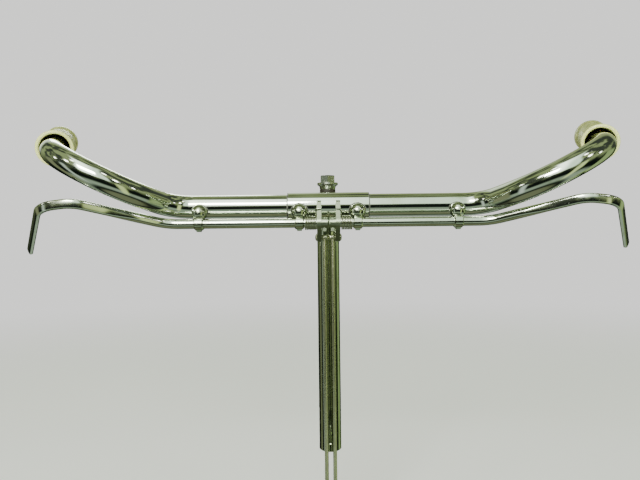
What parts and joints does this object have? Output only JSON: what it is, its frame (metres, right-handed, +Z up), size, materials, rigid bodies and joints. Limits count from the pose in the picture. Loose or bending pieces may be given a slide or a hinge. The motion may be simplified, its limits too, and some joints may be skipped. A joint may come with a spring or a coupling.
{
  "type": "bicycle handlebar",
  "caption": "Upright swept-back roadster handlebar with quill stem, grips, sprung rod-brake levers on eye bolts, crank arms and hanging pull rods.",
  "frame": {"origin": "on the quill's axis at its insertion line, where the stem leaves the top of the headset", "axes": "+Z up along the quill, -Y to the front of the bicycle, +X to the rider's left, along the bar's straight middle"},
  "size_m": [0.6308, 0.1739, 0.4419],
  "materials": {
    "bar_chrome": "bright chromium plate, finely scratched",
    "lever_chrome": "chromium plate, slightly dulled",
    "bracket_chrome": "worn chromium plate with grime in the corners",
    "quill_steel": "thin plate over steel, scuffed by the steerer",
    "bolt_steel": "plated steel, wrench marks on the corners",
    "crank_steel": "plated forging, worn",
    "rod_steel": "drawn steel rod, dull plate",
    "spring_steel": "spring wire, dull",
    "grip_cream": "aged cream celluloid, soft gloss"
  },
  "bodies": {
    "handlebar": {"bar_tube": "bar_chrome", "stem_lug": "bar_chrome", "quill_tube": "quill_steel", "expander_bolt": "bolt_steel", "bolt_washer": "bolt_steel", "expander_cone": "quill_steel", "right_grip": "grip_cream", "left_grip": "grip_cream", "right_outer_boss": "bracket_chrome", "right_outer_eye": "bracket_chrome", "right_inner_boss": "bracket_chrome", "right_inner_eye": "bracket_chrome", "right_return_spring": "spring_steel", "left_outer_boss": "bracket_chrome", "left_outer_eye": "bracket_chrome", "left_inner_boss": "bracket_chrome", "left_inner_eye": "bracket_chrome", "left_return_spring": "spring_steel"},
    "right_lever": {"right_lever": "lever_chrome", "right_crank_arm": "crank_steel", "right_clamp_screw": "crank_steel"},
    "right_pull_rod": {"right_pull_rod": "rod_steel", "right_rod_washer": "rod_steel", "right_sleeve_nut": "rod_steel"},
    "left_lever": {"left_lever": "lever_chrome", "left_crank_arm": "crank_steel", "left_clamp_screw": "crank_steel"},
    "left_pull_rod": {"left_pull_rod": "rod_steel", "left_rod_washer": "rod_steel", "left_sleeve_nut": "rod_steel"}
  },
  "joints": [
    {"name": "right_lever_pivot", "type": "hinge", "parent": "handlebar", "child": "right_lever", "pos_m": [0, -0.044, 0.0634], "axis": [1, 0, 0], "range_deg": [0, 25], "stiffness_Nm_per_rad": 0.5, "springref_deg": -20.05, "deforming": ["right_return_spring"]},
    {"name": "right_rod_pivot", "type": "hinge", "parent": "right_lever", "child": "right_pull_rod", "pos_m": [0, -0.025, 0.0495], "axis": [1, 0, 0], "range_deg": [-25, 0]},
    {"name": "left_lever_pivot", "type": "hinge", "parent": "handlebar", "child": "left_lever", "pos_m": [0, -0.044, 0.0634], "axis": [1, 0, 0], "range_deg": [0, 25], "stiffness_Nm_per_rad": 0.5, "springref_deg": -20.05, "deforming": ["left_return_spring"]},
    {"name": "left_rod_pivot", "type": "hinge", "parent": "left_lever", "child": "left_pull_rod", "pos_m": [0, -0.025, 0.0495], "axis": [1, 0, 0], "range_deg": [-25, 0]}
  ],
  "couplings": [
    {"joint": "right_rod_pivot", "follows": "right_lever_pivot", "ratio": -1},
    {"joint": "left_rod_pivot", "follows": "left_lever_pivot", "ratio": -1}
  ]
}
